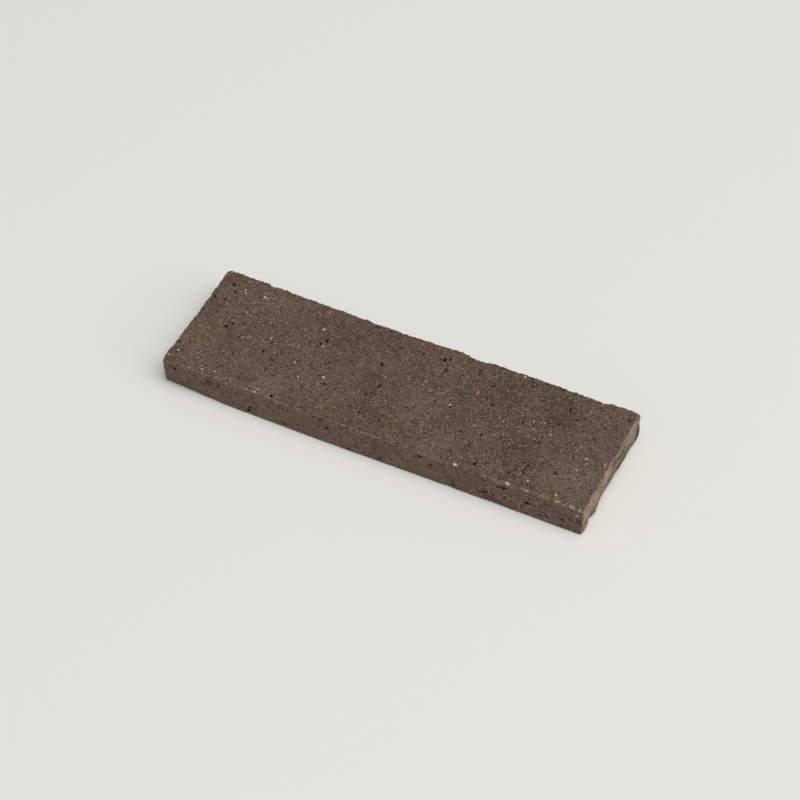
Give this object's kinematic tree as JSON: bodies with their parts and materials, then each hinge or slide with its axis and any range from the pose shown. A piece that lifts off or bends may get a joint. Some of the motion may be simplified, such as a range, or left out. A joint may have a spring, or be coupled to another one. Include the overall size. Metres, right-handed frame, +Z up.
{
  "type": "brick slip",
  "caption": "Thin dark brown fired clay slip with a rough facing side and a flat sawn back, for cladding a wall with the look of brickwork.",
  "frame": {"origin": "middle of the sawn back, which is the bottom face as the slip lies", "axes": "+X along the course, towards the leaning end; +Y across the course; +Z up, out of the weathering face"},
  "size_m": [0.215, 0.065, 0.0165],
  "materials": {
    "fired_clay": "matte, pitted, dark purplish brown with pale and ochre sand grains"
  },
  "bodies": {
    "root": {"brick_slip": "fired_clay"}
  },
  "joints": []
}
